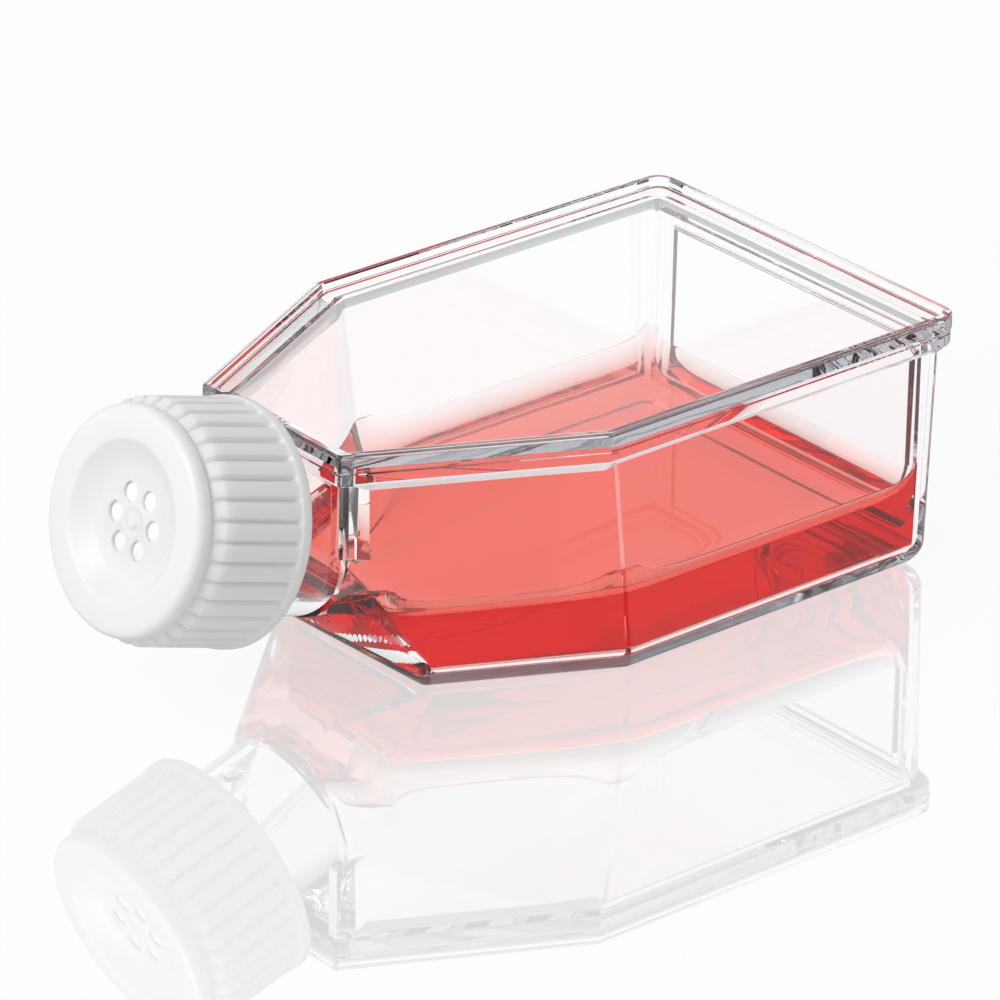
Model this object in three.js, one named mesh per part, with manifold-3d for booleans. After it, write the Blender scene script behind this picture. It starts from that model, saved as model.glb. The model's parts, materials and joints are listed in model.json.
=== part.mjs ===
// A 25 square centimetre cell culture flask with a vented screw cap, lying on its growth face.
// Millimetres, +Z up, the closed back end towards +X and the cap towards -X.
import * as THREE from 'three';
import { ConvexGeometry } from 'three/addons/geometries/ConvexGeometry.js';
import { mergeVertices } from 'three/addons/utils/BufferGeometryUtils.js';
import Module from 'manifold-3d';

const wasm = await Module();
wasm.setup();

// ---- driving dimensions -------------------------------------------------------------------

// plan of the stacking rim: a rectangle whose neck end narrows along two straight shoulders
const rimWidth = 51;
const rimLength = 78.4;
const shoulderRun = 27;
const neckEndWidth = 23.7;
const rimCornerRadius = 2.4;

// heights above the surface that the flask lies on
const wallTop = 28.7;
const weldPlane = 30;
const rimTop = 31.5;
const plateTop = 30.5;
const plateUnderside = 29;

// moulded tray
const wallThickness = 1.5;
const floorThickness = 2;
const bottomRadius = 3;
const innerBottomRadius = 1.6;
const wallCornerRadius = 2.6;
const rimOverhang = 1;
const wallDraft = 0.017;
const shoulderOverhang = 1.6;
const shoulderDraft = 0.07;
const endWallX = 1.9;
const baseFrontX = 12.4;
const footRimHeight = 0.5;
const footRimWidth = 2.2;
const footCornerRadius = 1;
const leastCornerRadius = 0.6;
// the ramp is steeper than the walls, so its inner face stands back by a share of the wall's inset
const rampInsetShare = 0.4;

// flange under the rim: an upright face, then a flare that runs down into the walls
const flangeInset = 0.1;
const flangeBottom = 27.9;
const flareInset = 1.95;
const flareBottom = 26.05;

// post under each neck-end corner of the flange: its plan as [distance from the rim's neck end,
// inset], and its lower end, which drops a little along the flare
const postPlan = [[0.4, 0.35], [0.65, 0.1], [1.2, 0.1], [4.8, 1.9], [4.8, 3], [2.4, 3.2], [0.4, 1.6]];
const postBottom = 19.1;
const postDrop = 1.2;

// shallow panel set into the back wall
const panelHalfWidth = 20.2;
const panelBottom = 5.2;
const panelTop = 26.3;
const panelDepth = 1.1;
const panelCornerRadius = 4;

// stacking rim and the tongue of the top plate
const rimThickness = 1.1;
const tongueClearance = 0.3;
const tongueCornerRadius = 0.8;

// neck, canted upwards, in a frame whose +Z runs out of the mouth
const neckTilt = 17.2;
const capRearX = -5.5;
const capRearZ = 20.9;
const neckRadius = 10.2;
const neckBoreRadius = 8.7;
const neckEndRadius = 11;
const neckEndCentreZ = 18.9;
const neckMouth = 11.6;
const gateRadius = 1.25;
const gateHeight = 0.5;
const gateAlongNeck = -3.7;
const gateSegments = 24;

// screw cap, measured along the same axis from the open edge of its skirt
const capLength = 15.2;
const capBandRadius = 13.8;
const capBandHeight = 1.4;
const capBandEdge = 0.3;
const capBoreRadius = 11.6;
const capCeiling = 12.2;
const capLeadIn = 0.4;
const capDiscRadius = 12.7;
const capDiscGroove = 0.6;
const capDiscRear = 12.5;
const capDiscEdge = 1;
const plugOuterRadius = 8.35;
const plugInnerRadius = 7.4;
const plugDepth = 2.4;
const plugLeadIn = 0.3;

// ribs along the skirt, and how much of its own pitch each one fills at its crest and its root
const ribCount = 36;
const ribCrestRadius = 13.5;
const ribRootRadius = 12.95;
const ribTaper = 0.2;
const ribFrontEnd = 11.7;
const ribChamferEnd = 13;
const ribChamferCrest = 12.4;
const ribChamferRoot = 12.3;
const ribCrestShare = 0.72;
const ribRootShare = 0.92;

// two-step dish in the front of the cap, as [radius, height over the dish's floor]
const recessDepth = 1.75;
const recessSteps = [[6.3, 0], [6.55, 0.35], [7.2, 0.95], [8.2, 1.35], [9, recessDepth]];

// vent holes and the filter disc behind them
const ventCount = 6;
const ventCircleRadius = 3.25;
const ventRadius = 1.15;
const gateNubRadius = 0.8;
const gateNubHeight = 0.3;
const membraneRadius = 6.9;
const membraneThickness = 0.3;
const membraneGap = 0.3;
const ventSegments = 20;

// right-hand thread, one start
const threadPitch = 4;
const threadTurns = 1.25;
const threadTop = 8.9;
const threadStepsPerTurn = 32;
const neckThreadCrest = 11.1;
const capThreadCrest = 10.6;
const threadRootWidth = 1.7;
const threadCrestWidth = 0.7;
const threadSink = 0.4;
const threadFade = 1 / 8;
const threadLeastHeight = 0.05;

// medium
const mediumLevel = 8.6;
const mediumClearance = 0.3;

// how finely round shapes are cut into flats, and how far a cutter reaches past what it cuts
const roundSegments = 72;
const cornerSegments = 6;
const arcSegments = 20;
const cutMargin = 2;
const joinOverlap = 0.3;
const mergeTolerance = 1e-5;

// ---- materials ----------------------------------------------------------------------------

const clearPolystyrene = new THREE.MeshStandardMaterial({
  color: 0xeef3f6,
  roughness: 0.06,
  metalness: 0,
  transparent: true,
  opacity: 0.3,
});
const whitePolyethylene = new THREE.MeshStandardMaterial({ color: 0xf1f0ee, roughness: 0.45, metalness: 0 });
const filterMembrane = new THREE.MeshStandardMaterial({ color: 0xfbfbfa, roughness: 0.9, metalness: 0 });
const cultureMedium = new THREE.MeshStandardMaterial({
  color: 0xe8503f,
  roughness: 0.05,
  metalness: 0,
  transparent: true,
  opacity: 0.8,
});

// ---- solids -------------------------------------------------------------------------------

function toSolid(geometry) {
  const plain = geometry.clone();
  plain.deleteAttribute('normal');
  plain.deleteAttribute('uv');
  const merged = mergeVertices(plain, mergeTolerance);
  const vertProperties = new Float32Array(merged.attributes.position.array);
  const triVerts = new Uint32Array(merged.index.array);
  return new wasm.Manifold(new wasm.Mesh({ numProp: 3, vertProperties, triVerts }));
}

function toGeometry(solid) {
  const mesh = solid.getMesh();
  const geometry = new THREE.BufferGeometry();
  geometry.setAttribute('position', new THREE.BufferAttribute(mesh.vertProperties, 3));
  geometry.setIndex(new THREE.BufferAttribute(mesh.triVerts, 1));
  geometry.computeVertexNormals();
  return geometry;
}

function joinAll(solids) {
  return solids.reduce((whole, solid) => whole.add(solid));
}

// a flat outline raised from one height to another
function prism(points, bottom, top) {
  const geometry = new THREE.ExtrudeGeometry(new THREE.Shape(points), {
    depth: top - bottom,
    bevelEnabled: false,
    curveSegments: cornerSegments,
  });
  geometry.translate(0, 0, bottom);
  return toSolid(geometry);
}

// a solid of revolution about +Z from [radius, height] pairs that start and end on the axis
function turned(profile) {
  const points = profile.map(([radius, height]) => new THREE.Vector2(radius, height));
  const geometry = new THREE.LatheGeometry(points, roundSegments);
  geometry.rotateX(Math.PI / 2);
  return toSolid(geometry);
}

function cylinder(radius, bottom, top) {
  return turned([[0, bottom], [radius, bottom], [radius, top], [0, top]]);
}

// ---- plan of the flask --------------------------------------------------------------------

const halfWidth = rimWidth / 2;
const shoulderAngle = Math.atan2(halfWidth - neckEndWidth / 2, shoulderRun);
const shoulderReach = (neckEndWidth / 2) * Math.cos(shoulderAngle);

function shoulderY(x, inset) {
  return (shoulderReach - inset + x * Math.sin(shoulderAngle)) / Math.cos(shoulderAngle);
}

function shoulderX(y, inset) {
  return (y * Math.cos(shoulderAngle) - shoulderReach + inset) / Math.sin(shoulderAngle);
}

// the outline of the rim drawn in by its own amount at the sides, the back, the shoulders and
// the neck end, with the two back corners rounded
function planOutline({ side, back, shoulder, front, radius }) {
  const sideY = halfWidth - side;
  const backX = rimLength - back;
  const half = [new THREE.Vector2(front, shoulderY(front, shoulder))];
  half.push(new THREE.Vector2(shoulderX(sideY, shoulder), sideY));
  for (let step = 0; step <= cornerSegments; step += 1) {
    const angle = (1 - step / cornerSegments) * Math.PI / 2;
    half.push(new THREE.Vector2(
      backX - radius + radius * Math.cos(angle),
      sideY - radius + radius * Math.sin(angle),
    ));
  }
  const mirrored = half.map((point) => new THREE.Vector2(point.x, -point.y));
  return [...mirrored, ...half.reverse()];
}

function evenOutline(inset) {
  return planOutline({
    side: inset,
    back: inset,
    shoulder: inset,
    front: inset,
    radius: Math.max(rimCornerRadius - inset, leastCornerRadius),
  });
}

// the convex solid that spans level outlines, given as [inset, height] pairs
function spanned(levels) {
  const points = levels.flatMap(([inset, z]) => (
    evenOutline(inset).map((point) => new THREE.Vector3(point.x, point.y, z))
  ));
  return toSolid(new ConvexGeometry(points));
}

function cornerPost(side) {
  const start = postPlan[0][0];
  const run = Math.max(...postPlan.map(([x]) => x)) - start;
  const points = postPlan.flatMap(([x, inset]) => {
    const y = side * shoulderY(x, inset);
    const low = postBottom - postDrop * (x - start) / run;
    return [new THREE.Vector3(x, y, low), new THREE.Vector3(x, y, flangeBottom + joinOverlap)];
  });
  return toSolid(new ConvexGeometry(points));
}

// ---- moulded tray -------------------------------------------------------------------------

// The tray's outside and its cavity are the same convex form at two insets: walls with draft,
// a rounded bottom edge, and a ramp that rises from the flat floor to the half-round neck end.
function trayForm({ inset, floor, top, edgeRadius }) {
  const points = [];
  const frontX = endWallX + inset;
  const floorFrontX = baseFrontX + rampInsetShare * inset;
  const ring = (z, extra, front) => {
    const drop = wallTop - z;
    const outline = planOutline({
      side: rimOverhang + inset + extra + drop * wallDraft,
      back: rimOverhang + inset + extra + drop * wallDraft,
      shoulder: shoulderOverhang + inset + extra + drop * shoulderDraft,
      front,
      radius: Math.max(wallCornerRadius - inset, leastCornerRadius),
    });
    points.push(...outline.map((point) => new THREE.Vector3(point.x, point.y, z)));
  };
  const rampRun = (floorFrontX - frontX) / (neckEndCentreZ - floor);
  for (let step = 0; step <= cornerSegments; step += 1) {
    const angle = (step / cornerSegments) * Math.PI / 2;
    const rise = edgeRadius * (1 - Math.cos(angle));
    ring(floor + rise, edgeRadius * (1 - Math.sin(angle)), floorFrontX - rise * rampRun);
  }
  ring(top, 0, frontX);
  for (let step = 0; step <= arcSegments; step += 1) {
    const angle = Math.PI * (1 + step / arcSegments);
    const radius = neckEndRadius - inset;
    points.push(new THREE.Vector3(
      frontX,
      radius * Math.cos(angle),
      neckEndCentreZ + radius * Math.sin(angle),
    ));
  }
  return toSolid(new ConvexGeometry(points));
}

// rounded rectangle in the plane of the back wall, extruded along X
function backPanel(fromX, toX, border) {
  const halfSpan = panelHalfWidth - border;
  const low = panelBottom + border;
  const high = panelTop - border;
  const radius = panelCornerRadius - border;
  const shape = new THREE.Shape();
  shape.moveTo(-halfSpan, high);
  shape.lineTo(-halfSpan, low + radius);
  shape.absarc(-halfSpan + radius, low + radius, radius, Math.PI, 1.5 * Math.PI, false);
  shape.lineTo(halfSpan - radius, low);
  shape.absarc(halfSpan - radius, low + radius, radius, 1.5 * Math.PI, 2 * Math.PI, false);
  shape.lineTo(halfSpan, high);
  const geometry = new THREE.ExtrudeGeometry(shape, {
    depth: toX - fromX,
    bevelEnabled: false,
    curveSegments: cornerSegments,
  });
  geometry.rotateX(Math.PI / 2);
  geometry.rotateZ(Math.PI / 2);
  geometry.translate(fromX, 0, 0);
  return toSolid(geometry);
}

const neckFrame = new THREE.Group();
neckFrame.position.set(capRearX, 0, capRearZ);
neckFrame.rotation.y = THREE.MathUtils.degToRad(neckTilt - 90);
neckFrame.updateMatrix();

function alongNeck(solid) {
  return solid.transform(neckFrame.matrix.toArray());
}

// A trapezoid ridge that winds about +Z. It sinks into the wall that carries it and fades out
// towards both ends.
function threadRidge({ wallRadius, crestRadius, topHeight }) {
  const steps = Math.round(threadTurns * threadStepsPerTurn);
  const sunk = wallRadius - Math.sign(crestRadius - wallRadius) * threadSink;
  const positions = [];
  const index = [];
  for (let step = 0; step <= steps; step += 1) {
    const angle = (step / threadStepsPerTurn) * 2 * Math.PI;
    const height = topHeight - threadTurns * threadPitch + (step / threadStepsPerTurn) * threadPitch;
    const fade = Math.min(1, Math.min(step, steps - step) / (threadFade * threadStepsPerTurn));
    const crest = THREE.MathUtils.lerp(wallRadius, crestRadius, Math.max(fade, threadLeastHeight));
    const section = [
      [sunk, -threadRootWidth / 2],
      [crest, -threadCrestWidth / 2],
      [crest, threadCrestWidth / 2],
      [sunk, threadRootWidth / 2],
    ];
    for (const [radius, shift] of section) {
      positions.push(radius * Math.cos(angle), radius * Math.sin(angle), height + shift);
    }
  }
  for (let step = 0; step < steps; step += 1) {
    for (let corner = 0; corner < 4; corner += 1) {
      const a = step * 4 + corner;
      const b = step * 4 + (corner + 1) % 4;
      index.push(a, a + 4, b, b, a + 4, b + 4);
    }
  }
  const last = steps * 4;
  index.push(0, 1, 2, 0, 2, 3);
  index.push(last, last + 2, last + 1, last, last + 3, last + 2);
  if (crestRadius < wallRadius) {
    for (let start = 0; start < index.length; start += 3) {
      [index[start + 1], index[start + 2]] = [index[start + 2], index[start + 1]];
    }
  }
  const geometry = new THREE.BufferGeometry();
  geometry.setAttribute('position', new THREE.Float32BufferAttribute(positions, 3));
  geometry.setIndex(index);
  return toSolid(geometry);
}

function flaskBody() {
  const outside = trayForm({ inset: 0, floor: 0, top: wallTop, edgeRadius: bottomRadius });
  const flange = spanned([
    [flareInset, flareBottom],
    [flangeInset, flangeBottom],
    [flangeInset, weldPlane],
  ]);
  const neckRoot = -(endWallX + wallThickness - capRearX) / Math.cos(THREE.MathUtils.degToRad(neckTilt));
  const neck = cylinder(neckRadius, neckRoot, neckMouth);
  const thread = threadRidge({ wallRadius: neckRadius, crestRadius: neckThreadCrest, topHeight: threadTop });
  const cavity = trayForm({
    inset: wallThickness,
    floor: floorThickness,
    top: weldPlane + cutMargin,
    edgeRadius: innerBottomRadius,
  });
  const bore = cylinder(neckBoreRadius, neckRoot - neckBoreRadius, neckMouth + cutMargin);
  const outerX = rimLength - rimOverhang;
  const panelCut = backPanel(outerX - panelDepth, outerX + cutMargin, 0);
  const padX = outerX - panelDepth - wallThickness;
  const panelPad = backPanel(padX, outerX, -wallThickness);
  const footCut = prism(planOutline({
    side: rimOverhang + bottomRadius + footRimWidth,
    back: rimOverhang + bottomRadius + footRimWidth,
    shoulder: shoulderOverhang + wallTop * shoulderDraft + bottomRadius + footRimWidth,
    front: baseFrontX + footRimWidth,
    radius: footCornerRadius,
  }), -cutMargin, footRimHeight);
  const posts = [-1, 1].map(cornerPost);
  const shell = joinAll([outside, flange, ...posts, alongNeck(neck), alongNeck(thread), alongNeck(gateMark())]);
  const hollow = joinAll([cavity.subtract(panelPad), clippedBore(bore)]);
  return shell.subtract(hollow).subtract(panelCut).subtract(footCut);
}

// the round mark that the mould's gate leaves under the neck
function gateMark() {
  const root = neckBoreRadius + joinOverlap;
  const tip = neckRadius + gateHeight;
  const geometry = new THREE.CylinderGeometry(gateRadius, gateRadius, tip - root, gateSegments);
  geometry.rotateZ(Math.PI / 2);
  geometry.translate(-(root + tip) / 2, 0, gateAlongNeck);
  return toSolid(geometry);
}

// the bore stops just inside the cavity, so that it doesn't cut the floor or the top
function clippedBore(bore) {
  const keep = new THREE.BoxGeometry(rimLength, rimWidth, rimLength);
  keep.translate(endWallX + wallThickness + joinOverlap - rimLength / 2, 0, 0);
  return alongNeck(bore).intersect(toSolid(keep));
}

// ---- top plate ----------------------------------------------------------------------------

function topPlate() {
  const band = prism(evenOutline(0), weldPlane, rimTop);
  const tray = prism(evenOutline(rimThickness), plateTop, rimTop + cutMargin);
  const tongueInset = rimOverhang + wallThickness + tongueClearance;
  const tongue = prism(planOutline({
    side: tongueInset,
    back: tongueInset,
    shoulder: shoulderOverhang + wallThickness + tongueClearance,
    front: endWallX + wallThickness + tongueClearance,
    radius: tongueCornerRadius,
  }), plateUnderside, weldPlane);
  return band.subtract(tray).add(tongue);
}

// ---- screw cap ----------------------------------------------------------------------------

// ribs run along the skirt; each ring of the loft lists crest and root corners in turn
function ribbedSleeve() {
  const rings = [
    { height: capBandHeight, crest: ribCrestRadius + ribTaper, root: ribRootRadius + ribTaper / 2 },
    { height: ribFrontEnd, crest: ribCrestRadius, root: ribRootRadius - ribTaper / 2 },
    { height: ribChamferEnd, crest: ribChamferCrest, root: ribChamferRoot },
  ];
  const pattern = [
    [-ribRootShare / 2, 'root'],
    [-ribCrestShare / 2, 'crest'],
    [ribCrestShare / 2, 'crest'],
    [ribRootShare / 2, 'root'],
  ];
  const positions = [];
  const index = [];
  const count = ribCount * pattern.length;
  for (const ring of rings) {
    for (let rib = 0; rib < ribCount; rib += 1) {
      for (const [offset, level] of pattern) {
        const angle = ((rib + offset) / ribCount) * 2 * Math.PI;
        positions.push(ring[level] * Math.cos(angle), ring[level] * Math.sin(angle), ring.height);
      }
    }
  }
  for (let ring = 0; ring < rings.length - 1; ring += 1) {
    for (let corner = 0; corner < count; corner += 1) {
      const a = ring * count + corner;
      const b = ring * count + (corner + 1) % count;
      index.push(a, b, a + count, b, b + count, a + count);
    }
  }
  const bottomCentre = positions.length / 3;
  positions.push(0, 0, rings[0].height);
  const topCentre = bottomCentre + 1;
  positions.push(0, 0, rings[rings.length - 1].height);
  const topRing = (rings.length - 1) * count;
  for (let corner = 0; corner < count; corner += 1) {
    const next = (corner + 1) % count;
    index.push(bottomCentre, next, corner);
    index.push(topCentre, topRing + corner, topRing + next);
  }
  const geometry = new THREE.BufferGeometry();
  geometry.setAttribute('position', new THREE.Float32BufferAttribute(positions, 3));
  geometry.setIndex(index);
  return toSolid(geometry);
}

function screwCap() {
  const body = turned([
    [0, 0],
    [capBandRadius - capBandEdge, 0],
    [capBandRadius, capBandEdge],
    [capBandRadius, capBandHeight],
    [ribRootRadius, capBandHeight + capBandEdge],
    [ribChamferRoot, capDiscRear - capDiscGroove],
    [capDiscRadius - capDiscGroove, capDiscRear],
    [capDiscRadius, capDiscRear + capDiscGroove],
    [capDiscRadius, capLength - capDiscEdge],
    [capDiscRadius - 0.3 * capDiscEdge, capLength - 0.3 * capDiscEdge],
    [capDiscRadius - capDiscEdge, capLength],
    [0, capLength],
  ]);
  const dishFloor = capLength - recessDepth;
  const dishMouth = recessSteps[recessSteps.length - 1][0];
  const recess = turned([
    [0, dishFloor],
    ...recessSteps.map(([radius, height]) => [radius, dishFloor + height]),
    [dishMouth, capLength + cutMargin],
    [0, capLength + cutMargin],
  ]);
  const nub = cylinder(gateNubRadius, dishFloor - joinOverlap, dishFloor + gateNubHeight);
  const bore = turned([
    [0, -cutMargin],
    [capBoreRadius + capLeadIn, -cutMargin],
    [capBoreRadius + capLeadIn, capLeadIn],
    [capBoreRadius, 2 * capLeadIn],
    [capBoreRadius, capCeiling],
    [0, capCeiling],
  ]);
  const plugTip = capCeiling - plugDepth;
  const plug = turned([
    [plugInnerRadius, capCeiling + joinOverlap],
    [plugInnerRadius, plugTip],
    [plugOuterRadius - plugLeadIn, plugTip],
    [plugOuterRadius, plugTip + 2 * plugLeadIn],
    [plugOuterRadius, capCeiling + joinOverlap],
    [plugInnerRadius, capCeiling + joinOverlap],
  ]);
  const thread = threadRidge({
    wallRadius: capBoreRadius,
    crestRadius: capThreadCrest,
    topHeight: threadTop - threadPitch / 2,
  });
  const cap = joinAll([body, ribbedSleeve()]).subtract(recess).subtract(bore);
  return joinAll([cap, plug, thread, nub]).subtract(ventHoles());
}

function ventHoles() {
  const holes = [];
  for (let hole = 0; hole < ventCount; hole += 1) {
    const angle = (hole / ventCount) * 2 * Math.PI + Math.PI / 2;
    const geometry = new THREE.CylinderGeometry(ventRadius, ventRadius, capLength, ventSegments);
    geometry.rotateX(Math.PI / 2);
    geometry.translate(
      ventCircleRadius * Math.cos(angle),
      ventCircleRadius * Math.sin(angle),
      capLength,
    );
    holes.push(toSolid(geometry));
  }
  return joinAll(holes);
}

function ventMembrane() {
  const top = capCeiling - membraneGap;
  return cylinder(membraneRadius, top - membraneThickness, top);
}

// ---- medium -------------------------------------------------------------------------------

function mediumPool() {
  const pool = trayForm({
    inset: wallThickness + mediumClearance,
    floor: floorThickness + mediumClearance,
    top: weldPlane,
    edgeRadius: innerBottomRadius - mediumClearance,
  });
  const bath = new THREE.BoxGeometry(rimLength, rimWidth, mediumLevel);
  bath.translate(rimLength / 2, 0, mediumLevel / 2);
  const panelPad = backPanel(
    rimLength - rimOverhang - panelDepth - wallThickness - mediumClearance,
    rimLength,
    -wallThickness - mediumClearance,
  );
  return pool.intersect(toSolid(bath)).subtract(panelPad);
}

// ---- assembly -----------------------------------------------------------------------------

function named(name, solid, material) {
  const mesh = new THREE.Mesh(toGeometry(solid), material);
  mesh.name = name;
  return mesh;
}

neckFrame.add(named('screw_cap', screwCap(), whitePolyethylene));
neckFrame.add(named('vent_membrane', ventMembrane(), filterMembrane));

const flask = new THREE.Group();
flask.add(named('flask_body', flaskBody(), clearPolystyrene));
flask.add(named('top_plate', topPlate(), clearPolystyrene));
flask.add(named('culture_medium', mediumPool(), cultureMedium));
flask.add(neckFrame);

// the origin stands under the middle of the whole flask, on the surface that it lies on
const extent = new THREE.Box3().setFromObject(flask, true);
flask.position.x = -(extent.min.x + extent.max.x) / 2;

export default flask;
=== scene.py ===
import json
import math

import bmesh
import bpy
import numpy as np
from mathutils import Matrix, Vector


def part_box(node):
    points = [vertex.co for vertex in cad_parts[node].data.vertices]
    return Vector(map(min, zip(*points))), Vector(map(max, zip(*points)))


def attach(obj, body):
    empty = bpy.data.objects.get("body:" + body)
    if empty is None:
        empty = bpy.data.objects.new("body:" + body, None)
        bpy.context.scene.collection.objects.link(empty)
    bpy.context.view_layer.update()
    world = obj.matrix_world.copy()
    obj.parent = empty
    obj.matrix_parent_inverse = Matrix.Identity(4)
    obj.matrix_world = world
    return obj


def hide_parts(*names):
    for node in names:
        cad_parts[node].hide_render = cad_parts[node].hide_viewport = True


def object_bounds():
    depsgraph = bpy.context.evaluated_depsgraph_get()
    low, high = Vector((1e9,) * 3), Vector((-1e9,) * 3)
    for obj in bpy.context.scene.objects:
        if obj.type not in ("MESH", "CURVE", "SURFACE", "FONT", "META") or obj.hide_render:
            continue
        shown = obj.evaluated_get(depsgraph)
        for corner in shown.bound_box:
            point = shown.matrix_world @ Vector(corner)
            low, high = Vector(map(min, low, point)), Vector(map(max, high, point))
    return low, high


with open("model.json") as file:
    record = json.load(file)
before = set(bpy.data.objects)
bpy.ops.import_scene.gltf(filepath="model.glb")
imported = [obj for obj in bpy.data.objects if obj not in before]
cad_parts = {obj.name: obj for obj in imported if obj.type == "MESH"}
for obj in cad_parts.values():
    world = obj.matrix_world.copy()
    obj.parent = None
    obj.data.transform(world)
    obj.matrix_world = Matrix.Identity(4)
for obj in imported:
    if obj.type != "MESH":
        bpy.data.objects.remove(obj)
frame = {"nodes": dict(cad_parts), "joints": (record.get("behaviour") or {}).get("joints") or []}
cadLow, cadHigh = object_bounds()
print("frame loaded:", len(frame["nodes"]), "nodes")

mm = 0.001  # shapes are worked out in millimetres and shrunk to metres once each is whole
samePoint = 1e-4  # points closer than this are one point

plateLow, plateHigh = [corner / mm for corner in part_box("top_plate")]
capTurn = next(joint for joint in frame["joints"] if joint["name"] == "cap_turn")
neckAxis = Vector(capTurn["axis"]).normalized()
neckSeat = Vector(capTurn["pos_m"]) / mm  # middle of the cap's open edge

# the neck's own frame: +Z out of the mouth, +X upwards
neckUp = Vector((0, 1, 0)).cross(neckAxis)
neckMatrix = Matrix((
    (neckUp.x, 0, neckAxis.x, neckSeat.x),
    (neckUp.y, 1, neckAxis.y, neckSeat.y),
    (neckUp.z, 0, neckAxis.z, neckSeat.z),
    (0, 0, 0, 1),
))


def addNode(tree, kind, inputs=None, **settings):
    # an input is a value, a socket, or a node whose first output is meant
    made = tree.nodes.new(kind)
    for name, value in settings.items():
        setattr(made, name, value)
    for key, value in (inputs or {}).items():
        if isinstance(value, bpy.types.Node):
            value = value.outputs[0]
        if isinstance(value, bpy.types.NodeSocket):
            tree.links.new(value, made.inputs[key])
        else:
            made.inputs[key].default_value = value
    return made


def linear(hexColour):
    parts = [int(hexColour[i:i + 2], 16) / 255 for i in (1, 3, 5)]
    parts = [c / 12.92 if c <= 0.04045 else ((c + 0.055) / 1.055) ** 2.4 for c in parts]
    return (*parts, 1.0)


def newMaterial(name):
    material = bpy.data.materials.new(name)
    material.use_nodes = True
    material.node_tree.nodes.clear()
    return material, material.node_tree


def newTree(name, inputs):
    # a geometry tree with named inputs, those inputs' identifiers, and their sockets by name
    tree = bpy.data.node_groups.new(name, "GeometryNodeTree")
    identifiers = {}
    for label, kind in inputs.items():
        socket = tree.interface.new_socket(label, in_out="INPUT", socket_type="NodeSocket" + kind)
        identifiers[label] = socket.identifier
    tree.interface.new_socket("Geometry", in_out="OUTPUT", socket_type="NodeSocketGeometry")
    return tree, identifiers, dict(addNode(tree, "NodeGroupInput").outputs.items())


def finishTree(tree, geometry, material):
    whole = addNode(tree, "GeometryNodeRealizeInstances", {"Geometry": geometry})
    painted = addNode(tree, "GeometryNodeSetMaterial", {"Geometry": whole, "Material": material})
    addNode(tree, "NodeGroupOutput", {0: painted})


def grow(obj, tree, identifiers, values):
    # runs the tree on the object and keeps the result as a plain mesh
    modifier = obj.modifiers.new("grow", "NODES")
    modifier.node_group = tree
    for label, value in values.items():
        modifier[identifiers[label]] = value
    return applied(obj)


def newObject(name, mesh):
    made = bpy.data.objects.new(name, mesh)
    bpy.context.scene.collection.objects.link(made)
    return made


def meshFrom(name, points, faces):
    mesh = bpy.data.meshes.new(name)
    mesh.from_pydata([tuple(point) for point in points], [], faces)
    mesh.update()
    return mesh


def applied(obj):
    # the object with its modifiers turned into a plain mesh
    depsgraph = bpy.context.evaluated_depsgraph_get()
    mesh = bpy.data.meshes.new_from_object(obj.evaluated_get(depsgraph))
    obj.modifiers.clear()
    old = obj.data
    obj.data = mesh
    bpy.data.meshes.remove(old)
    return obj


def combine(target, tool, operation):
    modifier = target.modifiers.new("combine", "BOOLEAN")
    modifier.operation = operation
    modifier.solver = "MANIFOLD"
    modifier.object = tool
    applied(target)
    bpy.data.objects.remove(tool)
    return target


def faceOut(obj, holeSides=None):
    # turns all faces outwards, once open ends of up to holeSides edges are closed (0: of any size)
    form = bmesh.new()
    form.from_mesh(obj.data)
    if holeSides is not None:
        rims = [edge for edge in form.edges if edge.is_boundary]
        bmesh.ops.holes_fill(form, edges=rims, sides=holeSides)
        bmesh.ops.triangulate(form, faces=[face for face in form.faces if len(face.verts) > 4])
    bmesh.ops.recalc_face_normals(form, faces=form.faces[:])
    form.to_mesh(obj.data)
    form.free()
    return obj


def hullOf(name, points):
    # the tightest closed form round the points, with its coplanar triangles joined
    form = bmesh.new()
    verts = [form.verts.new(point) for point in points]
    bmesh.ops.remove_doubles(form, verts=verts, dist=samePoint)
    made = bmesh.ops.convex_hull(form, input=form.verts[:], use_existing_faces=False)
    inner = [g for g in made["geom_interior"] + made["geom_unused"] if isinstance(g, bmesh.types.BMVert)]
    bmesh.ops.delete(form, geom=list(set(inner)), context="VERTS")
    flat = math.radians(0.02)
    bmesh.ops.dissolve_limit(form, angle_limit=flat, verts=form.verts[:], edges=form.edges[:])
    bmesh.ops.recalc_face_normals(form, faces=form.faces[:])
    mesh = bpy.data.meshes.new(name)
    form.to_mesh(mesh)
    form.free()
    return newObject(name, mesh)


def lathe(name, profile, steps):
    # closed solid of revolution about Z from (radius, height) pairs; a profile off the axis closes
    # on itself
    points, faces, rows = [], [], []
    for radius, height in profile:
        if radius < samePoint:
            rows.append([len(points)] * steps)
            points.append((0, 0, height))
        else:
            rows.append(list(range(len(points), len(points) + steps)))
            for step in range(steps):
                angle = 2 * math.pi * step / steps
                points.append((radius * math.cos(angle), radius * math.sin(angle), height))
    closed = profile[0][0] > samePoint
    uppers = rows[1:] + rows[:1] if closed else rows[1:]
    for lower, upper in zip(rows, uppers):
        for step in range(steps):
            after = (step + 1) % steps
            face = [lower[step], lower[after], upper[after], upper[step]]
            faces.append(list(dict.fromkeys(face)))
    return faceOut(newObject(name, meshFrom(name, points, faces)))


def arc(centre, radius, fromDegrees, toDegrees, steps):
    # points on an arc, as pairs
    angles = [math.radians(fromDegrees + (toDegrees - fromDegrees) * i / steps) for i in range(steps + 1)]
    return [(centre[0] + radius * math.cos(a), centre[1] + radius * math.sin(a)) for a in angles]


def placed(obj, matrix):
    obj.data.transform(matrix)
    return obj


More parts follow.
